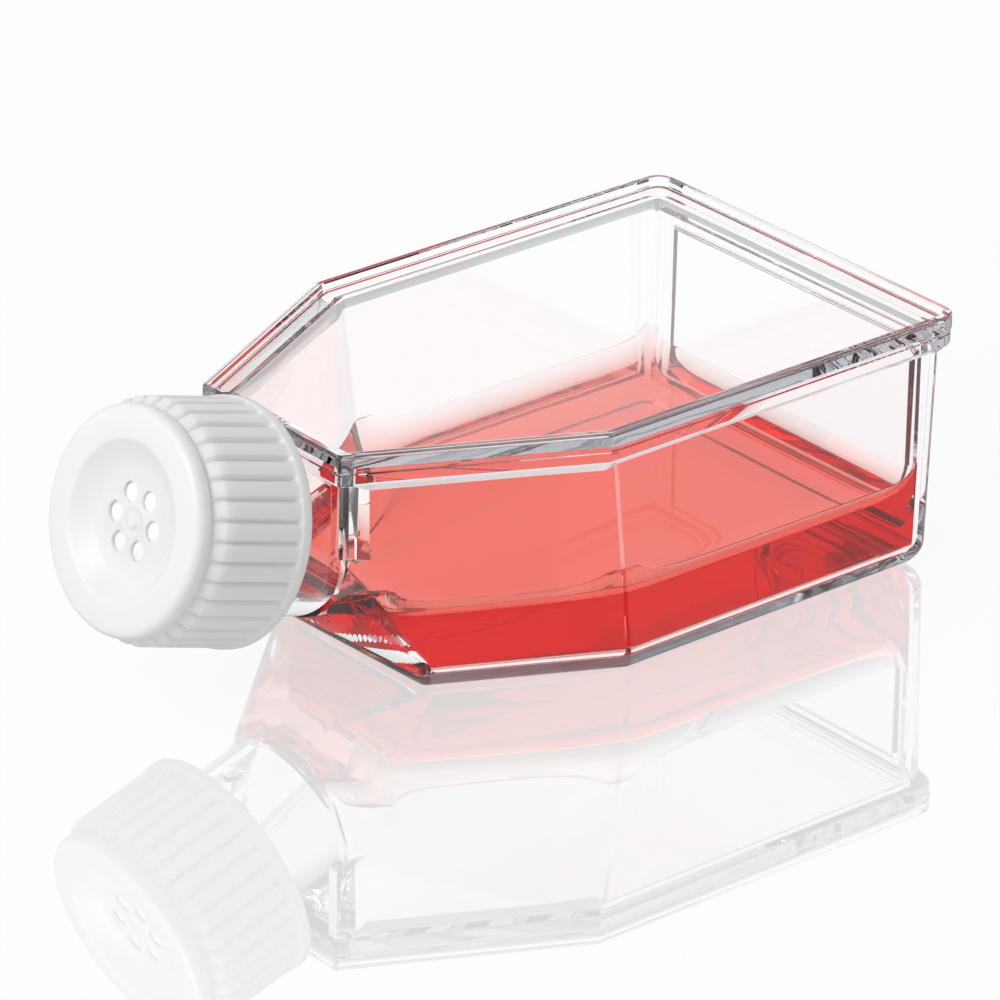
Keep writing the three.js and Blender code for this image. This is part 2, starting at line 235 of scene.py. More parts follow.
def finished(obj, material, body, replaced, sharp, weighted=False):
    # shrinks the piece to metres, shades it, gives it its finish and puts it on its body
    obj.data.transform(Matrix.Scale(mm, 4))
    obj.data.materials.clear()
    obj.data.materials.append(material)
    obj.data.shade_smooth()
    obj.data.set_sharp_from_angle(angle=math.radians(sharp))
    if weighted:
        modifier = obj.modifiers.new("even flats", "WEIGHTED_NORMAL")
        modifier.keep_sharp = True
        modifier.weight = 100
        applied(obj)
    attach(obj, body)
    if replaced:
        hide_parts(*replaced)
    print("made", obj.name, len(obj.data.polygons), "faces")


view = dict(
    azimuth=-40.353,
    elevation=25.788,
    roll=0.954,
    distance=785.1,
    lens=251.97,
    sensor=36,
    aim=(7.54, 2.491, 10.491),
)


def makeCamera():
    azimuth, elevation, roll = (math.radians(view[key]) for key in ("azimuth", "elevation", "roll"))
    level = math.cos(elevation)
    back = Vector((math.sin(azimuth) * level, -math.cos(azimuth) * level, math.sin(elevation)))
    right = Vector((0, 0, 1)).cross(back).normalized()
    up = back.cross(right)
    across = right * math.cos(roll) + up * math.sin(roll)
    upright = up * math.cos(roll) - right * math.sin(roll)
    place = (Vector(view["aim"]) + back * view["distance"]) * mm
    data = bpy.data.cameras.new("camera")
    data.lens = view["lens"]
    data.sensor_width = view["sensor"]
    data.clip_start, data.clip_end = 0.01, 50
    camera = bpy.data.objects.new("camera", data)
    camera.matrix_world = Matrix((
        (across.x, upright.x, back.x, place.x),
        (across.y, upright.y, back.y, place.y),
        (across.z, upright.z, back.z, place.z),
        (0, 0, 0, 1),
    ))
    bpy.context.scene.collection.objects.link(camera)
    bpy.context.scene.camera = camera


studio = dict(
    floorSize=3.0,
    floorGap=0.02,  # how far under the flask the floor lies (mm)
    mirror=0.30,  # how strongly the polished floor mirrors what stands on it, at a low angle
    leastMirror=0.04,  # and straight from above
    shade=0.10,  # share of the floor that takes shadows
    seenThrough=1.1,  # glow of the floor behind clear plastic and medium
    seenMirrored=0.4,  # glow of the floor in glossy faces
    # colours of the room and of the wall behind the backdrop: (rise of the line of sight, colour)
    room=((0.50, "#ffffff"), (0.80, "#a9a8b4")),
    farWall=(
        (0.05, "#9ea4a5"),
        (0.25, "#c3c9c9"),
        (0.36, "#ffffff"),
        (0.45, "#fafafc"),
        (0.51, "#e8e7ee"),
        (0.56, "#2c2a2c"),
        (0.70, "#2c2a2c"),
        (0.80, "#a9a8b4"),
    ),
    behind=(0.65, 0.76, 0.0),  # the way to the far wall
    behindFade=(-0.05, 0.25),  # how its edges blend into the room
    # the first bounces meet the bright backdrop, and only light caught inside the flask goes further
    bouncesToWall=2.5,
    ambient=0.62,  # the room's share of the light on a matte surface
    lamps=(
        # place (m), size (m), power (W)
        ((-0.62, 0.05, 0.62), 0.50, 3.9),
        ((0.45, -0.30, 0.80), 0.60, 0.6),
    ),
    bounces=36,
)


def makeFloor():
    half = studio["floorSize"] / 2
    corners = [(-half, -half, 0), (half, -half, 0), (half, half, 0), (-half, half, 0)]
    floor = newObject("floor", meshFrom("floor", corners, [(0, 1, 2, 3)]))
    floor.location.z = -studio["floorGap"] * mm
    material, tree = newMaterial("polished white acrylic sheet")
    path = addNode(tree, "ShaderNodeLightPath").outputs
    seen = path["Is Camera Ray"]
    for ray in ("Is Glossy Ray", "Is Transmission Ray"):
        seen = addNode(tree, "ShaderNodeMath", {0: seen, 1: path[ray]}, operation="MAXIMUM")
    # a ray through clear plastic also counts as a glossy one, so the glow seen through it goes last
    strength = 1.0
    for ray, name in (("Is Glossy Ray", "seenMirrored"), ("Is Transmission Ray", "seenThrough")):
        strength = addNode(tree, "ShaderNodeMapRange", {0: path[ray], 3: strength, 4: studio[name]})
    matte = addNode(tree, "ShaderNodeBsdfDiffuse", {"Color": linear("#f4f4f4")})
    glow = addNode(tree, "ShaderNodeEmission", {"Color": linear("#ffffff"), "Strength": strength})
    shown = addNode(tree, "ShaderNodeMixShader", {0: studio["shade"], 1: glow, 2: matte})
    base = addNode(tree, "ShaderNodeMixShader", {0: seen, 1: matte, 2: shown})
    facing = addNode(tree, "ShaderNodeLayerWeight", {"Blend": 0.35}).outputs["Facing"]
    sheen = addNode(tree, "ShaderNodeMapRange", {
        0: facing, 1: 0.0, 2: 0.4, 3: studio["leastMirror"], 4: studio["mirror"],
    })
    sheen = addNode(tree, "ShaderNodeMath", {0: sheen, 1: path["Is Camera Ray"]}, operation="MULTIPLY")
    gloss = addNode(tree, "ShaderNodeBsdfGlossy", {"Color": linear("#ffffff"), "Roughness": 0.0})
    surface = addNode(tree, "ShaderNodeMixShader", {0: sheen, 1: base, 2: gloss})
    addNode(tree, "ShaderNodeOutputMaterial", {"Surface": surface})
    floor.data.materials.append(material)


def makeWorld():
    world = bpy.data.worlds.new("studio")
    bpy.context.scene.world = world
    world.use_nodes = True
    tree = world.node_tree
    tree.nodes.clear()
    path = addNode(tree, "ShaderNodeLightPath").outputs
    way = addNode(tree, "ShaderNodeTexCoord").outputs["Generated"]
    rise = addNode(tree, "ShaderNodeSeparateXYZ", {0: way}).outputs["Z"]
    # the room is white at eye level and greyer towards the ceiling; the far wall is unlit higher up
    ramps = []
    for stops in (studio["room"], studio["farWall"]):
        ramp = addNode(tree, "ShaderNodeValToRGB", {0: rise})
        for position, shade in stops[1:-1]:
            ramp.color_ramp.elements.new(position)
        for element, (position, shade) in zip(ramp.color_ramp.elements, stops):
            element.position = position
            element.color = linear(shade)
        ramps.append(ramp)
    low, high = studio["behindFade"]
    away = addNode(tree, "ShaderNodeVectorMath", {0: way, 1: studio["behind"]}, operation="DOT_PRODUCT")
    away = addNode(tree, "ShaderNodeMapRange", {0: away.outputs["Value"], 1: low, 2: high},
                   interpolation_type="SMOOTHSTEP")
    caught = addNode(tree, "ShaderNodeMath", {0: path["Ray Depth"], 1: studio["bouncesToWall"]},
                     operation="GREATER_THAN")
    unlit = addNode(tree, "ShaderNodeMath", {0: away, 1: caught}, operation="MULTIPLY")
    room = addNode(tree, "ShaderNodeMix", {0: unlit, 6: ramps[0], 7: ramps[1]}, data_type="RGBA").outputs[2]
    colour = addNode(tree, "ShaderNodeMix", {0: path["Is Camera Ray"], 6: room, 7: linear("#ffffff")},
                     data_type="RGBA").outputs[2]
    strength = addNode(tree, "ShaderNodeMapRange", {0: path["Is Diffuse Ray"], 3: 1.0, 4: studio["ambient"]})
    glow = addNode(tree, "ShaderNodeBackground", {"Color": colour, "Strength": strength})
    addNode(tree, "ShaderNodeOutputWorld", {"Surface": glow})


def makeLamps():
    middle = (cadLow + cadHigh) / 2
    for number, (place, size, power) in enumerate(studio["lamps"]):
        data = bpy.data.lights.new(f"softbox{number}", "AREA")
        data.shape = "SQUARE"
        data.size = size
        data.energy = power
        lamp = bpy.data.objects.new(f"softbox{number}", data)
        lamp.location = place
        lamp.rotation_mode = "QUATERNION"
        lamp.rotation_quaternion = (Vector(place) - middle).to_track_quat("Z", "Y")
        bpy.context.scene.collection.objects.link(lamp)


bpy.context.scene.view_settings.view_transform = "Standard"
# light is caught inside the clear rim for many bounces, which would otherwise end in black
bpy.context.scene.cycles.max_bounces = studio["bounces"] + 4
bpy.context.scene.cycles.transmission_bounces = studio["bounces"]
bpy.context.scene.cycles.glossy_bounces = studio["bounces"]
makeCamera()
makeFloor()
makeWorld()
makeLamps()
print("stage set")


# the frosted patch for writing on, between these places (mm) on one shoulder; waves and grain in mm
frost = dict(
    along=(-20.9, -3.5),
    high=(9.2, 26.0),
    across=(-30.0, -5.0),
    border=0.1,
    grain=0.25,
    roughness=(0.1, 0.16),
)
flowLength = 7.0


def clearPolystyrene():
    # injection moulded in a polished tool: glass clear, with hardly any haze
    material, tree = newMaterial("clear polystyrene")
    place = addNode(tree, "ShaderNodeTexCoord").outputs["Object"]
    # the melt cools unevenly, which leaves the faces very slightly wavy
    flow = addNode(tree, "ShaderNodeTexNoise", {
        "Vector": place, "Scale": 1 / (flowLength * mm), "Detail": 1.0,
    })
    waves = addNode(tree, "ShaderNodeBump", {"Height": flow, "Strength": 0.25, "Distance": 0.02 * mm})
    # inside the patch a fine grain, drawn a little coarse so that it shows, makes the face rough
    split = addNode(tree, "ShaderNodeSeparateXYZ", {0: place}).outputs
    grain = addNode(tree, "ShaderNodeTexNoise", {
        "Vector": place, "Scale": 1 / (frost["grain"] * mm), "Detail": 2.0,
    })
    low, high = frost["roughness"]
    rough = addNode(tree, "ShaderNodeMapRange", {0: grain, 1: 0.3, 2: 0.7, 3: low, 4: high})
    for axis, edges in (("X", frost["along"]), ("Z", frost["high"]), ("Y", frost["across"])):
        for edge, way in zip(edges, (1, -1)):
            start, end = ((edge + way * frost["border"] * share) * mm for share in (-0.5, 0.5))
            inside = addNode(tree, "ShaderNodeMapRange", {0: split[axis], 1: start, 2: end})
            rough = addNode(tree, "ShaderNodeMath", {0: rough, 1: inside}, operation="MULTIPLY")
    shader = addNode(tree, "ShaderNodeBsdfPrincipled", {
        "Base Color": linear("#ffffff"), "Roughness": rough, "IOR": 1.59, "Normal": waves,
        "Specular Tint": linear("#bcbcbc"), "Transmission Weight": 1.0,
    })
    # along the plate and the walls it draws a little light out, so the edges look blue-grey
    volume = addNode(tree, "ShaderNodeVolumeAbsorption", {"Color": linear("#bcbfc6"), "Density": 24.0})
    addNode(tree, "ShaderNodeOutputMaterial", {"Surface": shader, "Volume": volume})
    return material


def cultureMedium():
    # phenol red in a salt solution: coral where the layer is thin, deep red along it
    material, tree = newMaterial("culture medium")
    shader = addNode(tree, "ShaderNodeBsdfPrincipled", {
        "Base Color": linear("#ffffff"), "Roughness": 0.0, "IOR": 1.34,
        "Specular Tint": linear("#aaaaaa"), "Transmission Weight": 1.0,
    })
    volume = addNode(tree, "ShaderNodeVolumeAbsorption", {"Color": linear("#fd7127"), "Density": 260.0})
    addNode(tree, "ShaderNodeOutputMaterial", {"Surface": shader, "Volume": volume})
    return material


def whitePolyethylene():
    # injection moulded with a fine spark-eroded satin, whose grain is drawn at 0.35 mm so that it
    # shows; light goes a little way in
    material, tree = newMaterial("white polyethylene")
    place = addNode(tree, "ShaderNodeTexCoord").outputs["Object"]
    grain = addNode(tree, "ShaderNodeTexNoise", {"Vector": place, "Scale": 1 / (0.35 * mm), "Detail": 3.0})
    satin = addNode(tree, "ShaderNodeBump", {"Height": grain, "Strength": 0.06, "Distance": 0.05 * mm})
    shader = addNode(tree, "ShaderNodeBsdfPrincipled", {
        "Base Color": linear("#f1f1ee"), "Roughness": 0.38, "IOR": 1.51, "Normal": satin,
        "Subsurface Weight": 0.35, "Subsurface Radius": (1.0, 0.95, 0.9), "Subsurface Scale": 1.2 * mm,
    })
    addNode(tree, "ShaderNodeOutputMaterial", {"Surface": shader})
    return material


def filterMembrane():
    # microporous film, matte and very white; its fibres are drawn at 0.15 mm, as the real ones are
    # too fine to show
    material, tree = newMaterial("vent membrane film")
    place = addNode(tree, "ShaderNodeTexCoord").outputs["Object"]
    fibres = addNode(tree, "ShaderNodeTexNoise", {"Vector": place, "Scale": 1 / (0.15 * mm), "Detail": 4.0})
    felt = addNode(tree, "ShaderNodeBump", {"Height": fibres, "Strength": 0.2, "Distance": 0.03 * mm})
    shader = addNode(tree, "ShaderNodeBsdfPrincipled", {
        "Base Color": linear("#fbfbfa"), "Roughness": 0.9, "Normal": felt,
    })
    addNode(tree, "ShaderNodeOutputMaterial", {"Surface": shader})
    return material


polystyrene = clearPolystyrene()
medium = cultureMedium()
polyethylene = whitePolyethylene()
membraneFilm = filterMembrane()
print("finishes ready")


# the outline of the stacking rim, seen from above: two shoulders narrow it towards the neck
plan = dict(
    shoulderRun=27.0,
    neckEndWidth=23.7,
    backCorner=2.4,
    shoulderCorner=0.4,
    frontCorner=0.9,
    leastCorner=0.3,
    arcStep=9.0,  # degrees between the points of a round corner
)
halfWidth = (plateHigh.y - plateLow.y) / 2
rimLength = plateHigh.x - plateLow.x
planStart = plateLow.x
shoulderAngle = math.atan2(halfWidth - plan["neckEndWidth"] / 2, plan["shoulderRun"])
shoulderReach = plan["neckEndWidth"] / 2 * math.cos(shoulderAngle)


def shoulderY(x, inset):
    return (shoulderReach - inset + x * math.sin(shoulderAngle)) / math.cos(shoulderAngle)


def shoulderX(y, inset):
    return (y * math.cos(shoulderAngle) - shoulderReach + inset) / math.sin(shoulderAngle)


def roundedOutline(corners, radii):
    # a convex outline with each corner turned into an arc
    outline = []
    for i, (corner, radius) in enumerate(zip(corners, radii)):
        here = Vector(corner)
        before = (Vector(corners[i - 1]) - here).normalized()
        after = (Vector(corners[(i + 1) % len(corners)]) - here).normalized()
        opening = before.angle(after)
        centre = here + (before + after).normalized() * radius / math.sin(opening / 2)
        start = here + before * radius / math.tan(opening / 2) - centre
        turn = math.pi - opening
        steps = max(2, round(math.degrees(turn) / plan["arcStep"]))
        for step in range(steps + 1):
            cosine, sine = math.cos(turn * step / steps), math.sin(turn * step / steps)
            turned = Vector((start.x * cosine - start.y * sine, start.x * sine + start.y * cosine))
            outline.append(tuple(centre + turned))
    return outline


def flaskOutline(side, back, shoulder, front, corner=0.0):
    # the rim's outline drawn in by its own amount on each kind of edge; corner shrinks its round corners
    sideY = halfWidth - side
    endX = rimLength - back
    half = [(front, shoulderY(front, shoulder)), (shoulderX(sideY, shoulder), sideY), (endX, sideY)]
    corners = [(x, -y) for x, y in half] + [(x, y) for x, y in reversed(half)]
    kinds = ("frontCorner", "shoulderCorner", "backCorner")
    radii = [max(plan[kind] - corner, plan["leastCorner"]) for kind in kinds]
    return roundedOutline(corners, radii + radii[::-1])


def evenOutline(inset):
    return flaskOutline(inset, inset, inset, inset, corner=inset)


def ring(outline, z):
    return [(planStart + x, y, z) for x, y in outline]


def spanned(name, levels):
    # the closed form spanned by even outlines, from (inset, height) pairs
    return hullOf(name, [point for inset, z in levels for point in ring(evenOutline(inset), z)])


def softBlock(name, bottom, top, outlineAt, lowEdge, highEdge, steps=4):
    # an upright block with rounded lower and upper edges; outlineAt(inset) gives its outline
    points = []
    for step in range(steps + 1):
        angle = math.radians(90 * step / steps)
        drawnIn, risen = 1 - math.sin(angle), 1 - math.cos(angle)
        if lowEdge > 0 or step == steps:
            points += ring(outlineAt(lowEdge * drawnIn), bottom + lowEdge * risen)
        if highEdge > 0 or step == steps:
            points += ring(outlineAt(highEdge * drawnIn), top - highEdge * risen)
    return hullOf(name, points)


tray = dict(
    wall=1.5,
    floor=2.0,
    wallTop=28.7,
    weldPlane=30.0,
    bottomRadius=3.0,
    innerBottomRadius=1.6,
    rimOverhang=1.0,
    wallDraft=0.017,
    shoulderOverhang=1.6,
    shoulderDraft=0.07,
    endWallX=1.9,
    baseFrontX=12.4,
    rampInsetShare=0.4,  # the steep ramp's inner face stands back by a share of the wall's inset
    cornerShare=0.3,  # share of the bottom's rounding by which the upright corners tighten there
    footHeight=0.5,
    footWidth=2.2,
    footEdge=0.3,
)
flange = dict(inset=0.1, bottom=27.9, flareInset=1.95, flareBottom=26.05, edge=0.12)
panel = dict(halfWidth=20.2, bottom=5.2, top=26.3, depth=1.1, corner=4.0, slope=0.5)
post = dict(
    # its outline from above: (x along the plan, inset from the rim)
    plan=((0.4, 0.35), (0.65, 0.1), (1.2, 0.1), (4.8, 1.9), (4.8, 3.0), (2.4, 3.2), (0.4, 1.6)),
    bottom=19.1,
    bottomDrop=1.2,
)
seam = dict(low=29.15, high=29.5, inset=0.32)  # where the lid is welded on
lid = dict(plateTop=30.5, plateUnderside=29.0, rimWall=1.1, edge=0.42, fillet=0.5)
neck = dict(outer=10.2, bore=8.7, endRadius=11.0, endCentreZ=18.9, mouth=11.6, lip=0.5, lead=0.4, steps=144)
gate = dict(radius=1.25, height=0.5, along=-3.7, edge=0.15)
thread = dict(
    pitch=4.0,
    turns=1.25,
    top=8.9,
    neckCrest=11.1,
    capCrest=10.6,
    rootWidth=1.7,
    crestWidth=0.7,
    sink=0.4,
    fade=1 / 8,  # turns in which an end runs out
    leastHeight=0.03,  # share of the height that is left at the very end
    stepsPerTurn=72,
)
joinOverlap = 0.5  # how far forms that are joined reach into each other
cutMargin = 3.0  # how far a cutter reaches past what it cuts

backX = planStart + rimLength - tray["rimOverhang"]  # outer face of the back wall at its top
wallInX = planStart + tray["endWallX"] + tray["wall"]  # inner face of the neck-end wall


def trayPoints(inset, floor, top, edgeRadius, edgeSteps=10):
    # the tray's outside, or its cavity at an inset: drafted walls, a rounded bottom edge and a
    # ramp that rises from the flat floor to the half-round neck end
    points = []
    frontX = tray["endWallX"] + inset
    floorFrontX = tray["baseFrontX"] + tray["rampInsetShare"] * inset
    rampRun = (floorFrontX - frontX) / (neck["endCentreZ"] - floor)

    def section(z, extra, front):
        drop = tray["wallTop"] - z
        side = tray["rimOverhang"] + inset + extra + drop * tray["wallDraft"]
        shoulder = tray["shoulderOverhang"] + inset + extra + drop * tray["shoulderDraft"]
        corner = inset + extra * tray["cornerShare"]
        return ring(flaskOutline(side, side, shoulder, front, corner=corner), z)

    for step in range(edgeSteps + 1):
        angle = math.radians(90 * step / edgeSteps)
        rise = edgeRadius * (1 - math.cos(angle))
        points += section(floor + rise, edgeRadius * (1 - math.sin(angle)), floorFrontX - rise * rampRun)
    points += section(top, 0, frontX)
    for y, z in arc((0, neck["endCentreZ"]), neck["endRadius"] - inset, 180, 360, 48):
        points.append((planStart + frontX, y, z))
    return points


def backPanel(fromX, toX, grow, growFar):
    # the shallow panel of the back wall, wider at its open side so that its edges slope
    points = []
    for x, border in ((fromX, grow), (toX, growFar)):
        halfSpan = panel["halfWidth"] + border
        low, high = panel["bottom"] - border, panel["top"] + border
        radius = panel["corner"] + border
        points += [(x, -halfSpan, high), (x, halfSpan, high)]
        points += [(x, y, z) for y, z in arc((-halfSpan + radius, low + radius), radius, 180, 270, 12)]
        points += [(x, y, z) for y, z in arc((halfSpan - radius, low + radius), radius, 270, 360, 12)]
    return hullOf("panel", points)


def threadTree():
    # a trapezoid ridge swept along a helix: row by row of a grid, four corners to a row and the
    # first one again to close it; its height fades out at both ends
    tree, identifiers, known = newTree("threadRidge", {
        "Turns": "Float", "Pitch": "Float", "Radius": "Float", "Start": "Float", "Steps per Turn": "Int",
        "Crest": "Float", "Root Width": "Float", "Crest Width": "Float", "Sink": "Float", "Fade": "Float",
        "Least Height": "Float", "Material": "Material",
    })
    corners = 4
    known["number"] = addNode(tree, "GeometryNodeInputIndex").outputs[0]
    for name, operation, *operands in (
        # which row and which corner a point is
        ("steps", "MULTIPLY", "Turns", "Steps per Turn"),
        ("rows", "ADD", "steps", 1.0),
        ("halfPast", "ADD", "number", 0.5),
        ("rowsPassed", "DIVIDE", "halfPast", corners + 1.0),
        ("row", "FLOOR", "rowsPassed"),
        ("rowStart", "MULTIPLY", "row", corners + 1.0),
        ("inRow", "SUBTRACT", "number", "rowStart"),
        ("shifted", "ADD", "inRow", 0.25),
        ("corner", "MODULO", "shifted", float(corners)),
        # corners 1 and 2 are the crest, and 2 and 3 the upper side
        ("upper", "GREATER_THAN", "corner", 1.75),
        ("fromMiddle", "SUBTRACT", "corner", 1.75),
        ("distance", "ABSOLUTE", "fromMiddle"),
        ("crest", "LESS_THAN", "distance", 0.8),
        # how much of the full height a row has
        ("turn", "DIVIDE", "row", "Steps per Turn"),
        ("turnsLeft", "SUBTRACT", "Turns", "turn"),
        ("toEnd", "MINIMUM", "turn", "turnsLeft"),
        ("fading", "DIVIDE", "toEnd", "Fade"),
        ("faded", "MINIMUM", "fading", 1.0),
        ("share", "MAXIMUM", "faded", "Least Height"),
        # how far out a corner is
        ("fullHeight", "SUBTRACT", "Crest", "Radius"),
        ("height", "MULTIPLY", "fullHeight", "share"),
        ("outwards", "SIGN", "fullHeight"),
        ("sunk", "MULTIPLY", "outwards", "Sink"),
        ("root", "SUBTRACT", "Radius", "sunk"),
        ("sunkHeight", "ADD", "height", "sunk"),
        ("raised", "MULTIPLY", "sunkHeight", "crest"),
        ("out", "ADD", "root", "raised"),
        # how high it is: along the helix, and by half the ridge's width there
        ("climb", "MULTIPLY", "turn", "Pitch"),
        ("middle", "ADD", "Start", "climb"),
        ("narrowing", "SUBTRACT", "Crest Width", "Root Width"),
        ("narrowed", "MULTIPLY", "narrowing", "crest"),
        ("width", "ADD", "Root Width", "narrowed"),
        ("side", "SUBTRACT", "upper", 0.5),
        ("offset", "MULTIPLY", "width", "side"),
        ("z", "ADD", "middle", "offset"),
        ("angle", "MULTIPLY", "turn", 2 * math.pi),
        ("cosine", "COSINE", "angle"),
        ("sine", "SINE", "angle"),
        ("x", "MULTIPLY", "out", "cosine"),
        ("y", "MULTIPLY", "out", "sine"),
    ):
        operands = [known[operand] if isinstance(operand, str) else operand for operand in operands]
        node = addNode(tree, "ShaderNodeMath", dict(enumerate(operands)), operation=operation)
        known[name] = node.outputs[0]
    place = addNode(tree, "ShaderNodeCombineXYZ", {0: known["x"], 1: known["y"], 2: known["z"]})
    grid = addNode(tree, "GeometryNodeMeshGrid", {"Vertices X": known["rows"], "Vertices Y": corners + 1})
    swept = addNode(tree, "GeometryNodeSetPosition", {"Geometry": grid, "Position": place})
    closed = addNode(tree, "GeometryNodeMergeByDistance", {"Geometry": swept, "Distance": samePoint})
    finishTree(tree, closed, known["Material"])
    return tree, identifiers


def threadRidge(name, wallRadius, crestRadius, top, material):
    ridge = grow(newObject(name, bpy.data.meshes.new(name)), *threadTree(), {
        "Turns": thread["turns"], "Pitch": thread["pitch"], "Radius": wallRadius, "Crest": crestRadius,
        "Start": top - thread["turns"] * thread["pitch"], "Steps per Turn": thread["stepsPerTurn"],
        "Root Width": thread["rootWidth"], "Crest Width": thread["crestWidth"], "Sink": thread["sink"],
        "Fade": thread["fade"], "Least Height": thread["leastHeight"], "Material": material,
    })
    return placed(faceOut(ridge, holeSides=8), neckMatrix)


def cornerPost(side):
    # a post under a neck-end corner of the flange; its lower end drops along the flare
    points = []
    startX = post["plan"][0][0]
    run = max(x for x, inset in post["plan"]) - startX
    for x, inset in post["plan"]:
        low = post["bottom"] - post["bottomDrop"] * (x - startX) / run
        for z in (low, flange["bottom"] - 0.2):
            points.append((planStart + x, side * shoulderY(x, inset), z))
    return hullOf("post", points)


def gateMark():
    # the round mark under the neck where the mould's gate was
    root, crest = neck["bore"] + 0.3, neck["outer"] + gate["height"]
    made = lathe("gate", [(0, root), (gate["radius"], root), (gate["radius"], crest - gate["edge"]),
                          (gate["radius"] - gate["edge"], crest), (0, crest)], 32)
    downwards = Matrix.Rotation(math.radians(-90), 4, "Y")
    placed(made, Matrix.Translation((0, 0, gate["along"])) @ downwards)
    return placed(made, neckMatrix)


def neckStub(root):
    outer, lip, mouth = neck["outer"], neck["lip"], neck["mouth"]
    profile = [(0, root), (outer, root), (outer, mouth - lip)]
    profile += arc((outer - lip, mouth - lip), lip, 15, 90, 5) + [(0, mouth)]
    return placed(lathe("stub", profile, neck["steps"]), neckMatrix)


def flaskOutside(root):
    shell = hullOf("clear_flask", trayPoints(0, 0, tray["wallTop"] + joinOverlap, tray["bottomRadius"]))
    # the flange's upright face, and the flare that runs from it down into the walls
    inset, bottom = flange["inset"], flange["bottom"]
    combine(shell, spanned("flange", [
        (flange["flareInset"], flange["flareBottom"]), (inset + 0.1, bottom - 0.1), (inset, bottom + 0.15),
        (inset, seam["low"] - 0.1), (inset + flange["edge"], seam["low"]),
    ]), "UNION")
    # the seam is a fine groove between the flange and the band of the lid
    seamEnds = (seam["low"] - joinOverlap, seam["high"] + joinOverlap)
    combine(shell, spanned("seam", [(seam["inset"], z) for z in seamEnds]), "UNION")
    for side in (-1, 1):
        combine(shell, cornerPost(side), "UNION")
    band = softBlock("band", seam["high"], plateHigh.z, evenOutline, flange["edge"], lid["edge"])
    combine(shell, band, "UNION")
    combine(shell, neckStub(root), "UNION")
    ridge = threadRidge("ridge", neck["outer"], thread["neckCrest"], thread["top"], polystyrene)
    combine(shell, ridge, "UNION")
    combine(shell, gateMark(), "UNION")
    print("flask outside joined")
    return shell


def flaskCavity(root):
    # the room inside: the tray's, less the back of the panel, and the neck's bore
    wall, underside = tray["wall"], lid["plateUnderside"]
    cavity = hullOf("cavity", trayPoints(wall, tray["floor"], underside, tray["innerBottomRadius"]))
    combine(cavity, backPanel(backX - panel["depth"] - wall, backX + 5, wall, wall), "DIFFERENCE")
    bore, mouth, lead = neck["bore"], neck["mouth"], neck["lead"]
    bottom, top = root - bore, mouth + cutMargin
    profile = [(0, bottom), (bore, bottom), (bore, mouth - lead)]
    profile += [(bore + lead, mouth), (bore + lead, top), (0, top)]
    boreForm = placed(lathe("bore", profile, neck["steps"]), neckMatrix)
    # the bore ends just inside the neck-end wall
    ends = (wallInX + 0.3 - 90, wallInX + 0.3)
    keep = hullOf("keep", [(x, y, z) for x in ends for y in (-40, 40) for z in (-40, 80)])
    combine(boreForm, keep, "INTERSECT")
    return combine(cavity, boreForm, "UNION")


def makeFlask():
    root = (wallInX - neckSeat.x) / neckAxis.x  # where the neck's axis meets the end wall's inner face
    shell = flaskOutside(root)
    combine(shell, flaskCavity(root), "DIFFERENCE")
    # the lid's top: a tray inside the stacking rim, whose lip is chamfered
    rimWall, top = lid["rimWall"], plateHigh.z
    dish = softBlock("dish", lid["plateTop"], top + cutMargin,
                     lambda inset: evenOutline(rimWall + inset), lid["fillet"], 0)
    combine(shell, dish, "DIFFERENCE")
    combine(shell, spanned("lip", [
        (rimWall + 0.5, top - 0.3), (rimWall - 0.02, top - 0.28), (rimWall - 0.08, top - 0.1),
        (rimWall - 0.25, top + 0.01),
    ]), "DIFFERENCE")
    combine(shell, backPanel(backX - panel["depth"], backX + 0.01, -panel["slope"], 0.0), "DIFFERENCE")
    # underneath only a narrow foot stands on the table
    side = tray["rimOverhang"] + tray["bottomRadius"] + tray["footWidth"]
    drop = tray["wallTop"] * tray["shoulderDraft"]
    shoulder = tray["shoulderOverhang"] + drop + tray["bottomRadius"] + tray["footWidth"]
    front = tray["baseFrontX"] + tray["footWidth"]
    foot = softBlock("foot", -2, tray["footHeight"], lambda inset: flaskOutline(
        side + inset, side + inset, shoulder + inset, front + inset), 0, tray["footEdge"])
    combine(shell, foot, "DIFFERENCE")
    finished(shell, polystyrene, "flask", ("flask_body", "top_plate"), 24, True)


makeFlask()


pool = dict(
    level=8.6,
    drop=20.0,  # from the walls' top down to about its level, over which their drafts count
    rise=2.9,  # how far the medium climbs the walls
    climbLength=1.15,  # distance from the wall in which the climb fades
    mostClimb=1.6,  # where walls meet their climbs add up, to no more than this share
    rampContact=7.6,  # where the climb up the ramp starts, along the plan
    overlap=0.06,  # the medium wets the wall: it reaches into it, so that no film of air shows between
    columns=300,
    outline=(4, 4, 4, 6),  # insets of the outline round which the columns are spaced
    spine=(24.0, 18.0),  # insets of the ends of the middle line from which they spread
    # shares of the way inwards at which the surface has points, close together where it climbs
    inwards=(0.004, 0.01, 0.018, 0.03, 0.045, 0.065, 0.09, 0.12, 0.16, 0.21, 0.28, 0.38, 0.55, 0.78),
)
poolInset = tray["wall"] - pool["overlap"]
poolBottom = tray["floor"] - pool["overlap"]
poolBackX = backX - panel["depth"] - poolInset


